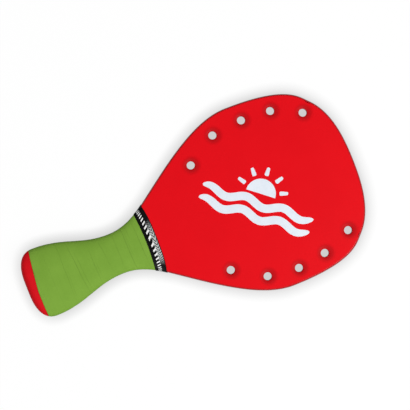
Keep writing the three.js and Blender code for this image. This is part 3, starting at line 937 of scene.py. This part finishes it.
def make_overgrip():
    """One tape wound as a right-handed screw: the turn's share sets the place round the handle, and its
    far edge moves on by the pitch each turn. Across the tape, the near edge stands on the turn before, the
    top sinks by the lap's step towards the far edge, and a tail runs on under the next turn."""
    per_turn = STATIONS * GRIP_STEPS
    turns = (WRAPS_END - GRIP_START) / WRAP_PITCH + 1
    turn = np.arange(int(turns * per_turn)) / per_turn
    start = settle(turn, grip_start_line)
    low = np.maximum(wrap_reach(turn - 1), start)
    high = np.minimum(wrap_reach(turn), WRAPS_END)
    keep = high - low > LEAST_WIDTH
    turn, start, low, high = (values[keep] for values in (turn, start, low, high))
    width = high - low
    tail = np.clip(WRAPS_END - high, LEAST_TAIL, LAP_TAIL)
    end = high + tail
    lapped = wrap_reach(turn - 1) > start
    far = np.where(lapped & (end - low < SHORT_LAP), TAIL_UNDER, GRIP_THICKNESS)
    near, reach = (np.where(lapped, depth, GRIP_THICKNESS) for depth in LAP_UNDER)
    stand, next_stand = lap_stand(turn - 1), lap_stand(turn)
    scale = np.minimum(1, width / FULL_WIDTH)
    columns = [(low, near)]
    columns += [(low + s * MM * scale, d * MM * stand) for s, d in NEAR_EDGE]
    for share in TOP_SHARES:
        s = EDGE_END * scale + (width - EDGE_END * scale) * share
        ridge = sum(k * np.sin(2 * math.pi * (a * share + b * turn)) for a, b, k in RIDGES)
        sink = LAP_STEP * next_stand * s / width
        columns.append((low + s, sink + RIDGE_HEIGHT * ridge * math.sin(math.pi * share)))
    columns += [(high + tail / 2, TAIL_TOPS[0]), (end, TAIL_TOPS[1]), (end, far)]
    for (most, share), depth in ((LAP_FOOT, far), (LAP_REACH, reach)):
        columns.append((low + np.minimum(most, share * (end - low)), depth))
    sections = np.stack([skin_points(depth, turn, x) for x, depth in columns], 1)
    along = np.stack([np.stack([(turn - 1) * TAPE_PER_TURN, x - low], -1) for x, _ in columns], 1)
    pool = np.broadcast_to(stand[:, None], sections.shape[:2])
    return sweep("overgrip_winding", sections, grip_material, "caps", uv=along, pool=pool)


# The finishing tape: turns, where on the section it starts, how it climbs on its own start, and its
# section as shares of the width with the rounding of both edges
TAPE_TURNS = 1.08
TAPE_STEPS = 10
TAPE_CREASE = 60
TAPE_FIRST = 0.75
TAPE_CLIMB = 0.42 * MM
TAPE_CLIMB_START = 0.93
TAPE_CLIMB_LENGTH = 0.06
TAPE_SHARES = np.concatenate([[0, 0.012], np.linspace(0.04, 0.96, 15), [0.988, 1]])
TAPE_DROPS = np.array([0.14, 0.03] + [0] * 15 + [0.03, 0.14]) * MM
TAPE_OUTER = 0.5 * MM
TAPE_INNER = 0.12 * MM
TAPE_BOW_POWER = 2
TAPE_END_FLAT = 1.2
RIM_BLEND_START = 160 * MM
RIM_BLEND = 9 * MM


def make_tape():
    """A strip wound once round the neck and lapped on itself at the back. Its edges bow towards the blade
    in the middle: x = base + bow (1 - |y/w|^n), with n from 2 at the grip's side to 3.2 at the blade's,
    where the edge is flatter. It follows the grip's section on its near side and the blade's rounded rim
    on its far side."""
    around = np.linspace(0, TAPE_TURNS, int(STATIONS * TAPE_STEPS * TAPE_TURNS))
    climb = TAPE_CLIMB * np.clip((around - TAPE_CLIMB_START) / TAPE_CLIMB_LENGTH, 0, 1)
    turn = around + TAPE_FIRST

    def ring(share, offset):
        base = HANDLE_LENGTH + share * TAPE_WIDTH
        bow = TAPE_START_BOW + share * (TAPE_END_BOW - TAPE_START_BOW)
        half = np.interp(base, PLAN[:, 0], PLAN[:, 1])
        power = TAPE_BOW_POWER + share * TAPE_END_FLAT
        x = settle(turn, lambda y: base + bow * (1 - np.abs(np.clip(y / half, -1, 1)) ** power), base)
        rounding = RIM_ROUNDING * np.clip((x - RIM_BLEND_START) / RIM_BLEND, 0, 1)
        return skin_points(-offset, turn, x, rounding)

    outside = [ring(s, TAPE_OUTER + climb - drop) for s, drop in zip(TAPE_SHARES, TAPE_DROPS)]
    inside = [ring(s, TAPE_INNER + climb) for s in TAPE_SHARES[::-1]]
    sections = np.stack(outside + inside, 1)
    across = np.concatenate([TAPE_SHARES, TAPE_SHARES[::-1]])
    # The map's X runs on past 1, so that no face's map folds back
    along = np.stack(np.broadcast_arrays(turn[:, None], across[None, :]), -1)
    return sweep("neck_tape", sections, tape_material, "caps", uv=along, crease=TAPE_CREASE)


# Putting it together


def stand_for(piece, node):
    """Lets a piece ride on the racket's one body in place of a solid, which is hidden."""
    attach(piece, "root")
    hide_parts(node)
    return piece


stand_for(make_rim(), "edge_band")
stand_for(make_face("front_face", 1), "front_face_sheet")
stand_for(make_face("back_face", -1), "back_face_sheet")
for index, place in enumerate(hole_places(), 1):
    stand_for(make_lip(f"hole_lip_{index:02d}", place), f"hole_liner_{index:02d}")
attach(make_print(), "root")
stand_for(make_cap(), "butt_cap")
cushion = stand_for(make_cushion(), "cushion_wrap")
stand_for(make_overgrip(), "overgrip")
stand_for(make_tape(), "finishing_tape")

for node, material in (
    ("blade_core", core_material),
    ("handle_scale_front", wood_material),
    ("handle_scale_back", wood_material),
):
    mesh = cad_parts[node].data
    mesh.materials.clear()
    mesh.materials.append(material)

# Floor, light and camera

WHITE = (1, 1, 1, 1)
FLOOR_CENTRE = 0.2
FLOOR_HALF = 3
REST_POINTS = ((9.5 * MM, -18.04 * MM), (437.6 * MM, -6.02 * MM))
CARD_SEEN = "#fdfdfd"
CARD_UNSEEN = "#848484"
GLOW_SHARE = 0.945
SHADOW_REACH = 18 * MM
SHADOW_TONES = [(0.0, 0.65), (0.3, 0.66), (0.5, 0.7), (0.8, 0.87), (0.95, 0.975), (1.0, 1.0)]

# The tent's strength at each height, from the horizon at 0 to straight above at 1: as it lights the
# racket, with a lean towards -Y, and as gloss shows it
TENT_LIGHT = 1.05
TENT_LEAN = 0.5
TENT_PROFILE = [(0.0, 0.06), (0.45, 0.25), (0.65, 0.95), (0.9, 1.0), (0.955, 0.06), (1.0, 0.04)]
GLOSS_PROFILE = [(0.0, 0.2), (0.35, 0.35), (0.7, 0.9), (0.88, 1.0), (0.955, 0.04), (1.0, 0.04)]

LAMP_PLACE = (0.75, -0.8, 1.45)
LAMP_SIZE = 0.6
LAMP_WATTS = 15
LIT_POINT = (0.24, 0.0, 0.0)

CAMERA_HEIGHT = 2.2
CAMERA_TURN = math.radians(-21.6)
SENSOR_WIDTH = 36
PICTURE_WIDTH = 0.5158
PICTURE_CENTRE = (0.2458, 0.0158)


def make_floor():
    """A plane under the racket as it lies: it touches the butt cap's edge and the blade's tip."""
    (x0, z0), (x1, z1) = REST_POINTS
    slope = (z1 - z0) / (x1 - x0)
    x = np.array([-1, 1, 1, -1]) * FLOOR_HALF + FLOOR_CENTRE
    y = np.array([-1, -1, 1, 1]) * FLOOR_HALF
    points = np.stack([x, y, z0 + slope * (x - x0)], 1)
    mesh = bpy.data.meshes.new("floor")
    mesh.from_pydata(points.tolist(), [], [[0, 1, 2, 3]])
    mesh.materials.append(floor_paper("white_paper"))
    return add_object("floor", mesh)


def float_curve(tree, value, knots):
    """A curve of straight lines through knots of place and height."""
    node = add(tree, "ShaderNodeFloatCurve", {}, {"Value": value})
    curve = node.mapping.curves[0]
    for place, height in knots[1:-1]:
        curve.points.new(place, height)
    for point, (place, height) in zip(curve.points, knots):
        point.location = (place, height)
        point.handle_type = "VECTOR"
    node.mapping.update()
    return node.outputs[0]


def seen_rays(tree):
    """1 for the rays that show the background: the camera's own, and those that gloss or glass sends."""
    ray = add(tree, "ShaderNodeLightPath").outputs
    either = math_node(tree, "MAXIMUM", ray["Is Camera Ray"], ray["Is Glossy Ray"])
    return math_node(tree, "MAXIMUM", either, ray["Is Transmission Ray"])


def floor_paper(name):
    """White card on a lit table. Most of the white that the camera sees is the table's own glow, which
    fades where the racket closes off the room within a finger's width, so the shadow is a pale, even
    border; the lamp's own shadow is the rest."""
    material, tree = new_material(name)
    seen = seen_rays(tree)
    tone = mix(tree, seen, CARD_UNSEEN, CARD_SEEN)
    card = add(tree, "ShaderNodeBsdfDiffuse", {}, {"Color": tone})
    room = add(tree, "ShaderNodeAmbientOcclusion", {"samples": 16, "Distance": SHADOW_REACH})
    strength = float_curve(tree, room.outputs["AO"], SHADOW_TONES)
    glow = add(tree, "ShaderNodeEmission", {"Color": WHITE}, {"Strength": strength})
    links = {0: times(tree, seen, GLOW_SHARE), 1: card.outputs[0], 2: glow.outputs[0]}
    mixed = add(tree, "ShaderNodeMixShader", {}, links)
    add(tree, "ShaderNodeOutputMaterial", {}, {"Surface": mixed.outputs[0]})
    return material


def make_world():
    """A white tent. Its walls light the racket, more so from higher up and from -Y. The camera sees it
    plain white. Gloss sees a dimmer foot and the camera's dark opening at the top, so the flat blade
    shows little haze from above and from low angles."""
    world = bpy.data.worlds.new("tent")
    world.use_nodes = True
    tree = world.node_tree
    tree.nodes.clear()
    way = add(tree, "ShaderNodeTexCoord").outputs["Generated"]
    split = add(tree, "ShaderNodeSeparateXYZ", {}, {"Vector": way})
    up = math_node(tree, "ABSOLUTE", split.outputs["Z"])
    ends = TENT_LIGHT * (1 + TENT_LEAN), TENT_LIGHT * (1 - TENT_LEAN)
    side = spread(tree, split.outputs["Y"], *ends, -1.0, 1.0)
    light = times(tree, float_curve(tree, up, TENT_PROFILE), side)
    tent = add(tree, "ShaderNodeBackground", {"Color": WHITE}, {"Strength": light})
    camera = add(tree, "ShaderNodeLightPath").outputs["Is Camera Ray"]
    shown = math_node(tree, "MAXIMUM", camera, float_curve(tree, up, GLOSS_PROFILE))
    backdrop = add(tree, "ShaderNodeBackground", {"Color": WHITE}, {"Strength": shown})
    links = {0: seen_rays(tree), 1: tent.outputs[0], 2: backdrop.outputs[0]}
    mixed = add(tree, "ShaderNodeMixShader", {}, links)
    add(tree, "ShaderNodeOutputWorld", {}, {"Surface": mixed.outputs[0]})
    bpy.context.scene.world = world


def make_lamp():
    """A soft square lamp that faces the racket's middle."""
    light = bpy.data.lights.new("key", "AREA")
    light.shape = "SQUARE"
    light.size = LAMP_SIZE
    light.energy = LAMP_WATTS
    lamp = add_object("key", light)
    lamp.location = LAMP_PLACE
    x, y, z = np.array(LIT_POINT) - np.array(LAMP_PLACE)
    lamp.rotation_euler = (math.atan2(math.hypot(x, y), -z), 0, math.atan2(x, -y) + math.pi)


def make_camera():
    """Straight above the blade, turned so that the racket climbs to the right by 21.6 degrees."""
    data = bpy.data.cameras.new("photo_camera")
    data.sensor_width = SENSOR_WIDTH
    data.lens = CAMERA_HEIGHT * SENSOR_WIDTH / PICTURE_WIDTH
    camera = add_object("photo_camera", data)
    camera.location = (*PICTURE_CENTRE, CAMERA_HEIGHT)
    camera.rotation_euler = (0, 0, CAMERA_TURN)
    bpy.context.scene.camera = camera


make_floor()
make_world()
make_lamp()
make_camera()
bpy.context.scene.view_settings.view_transform = "Standard"
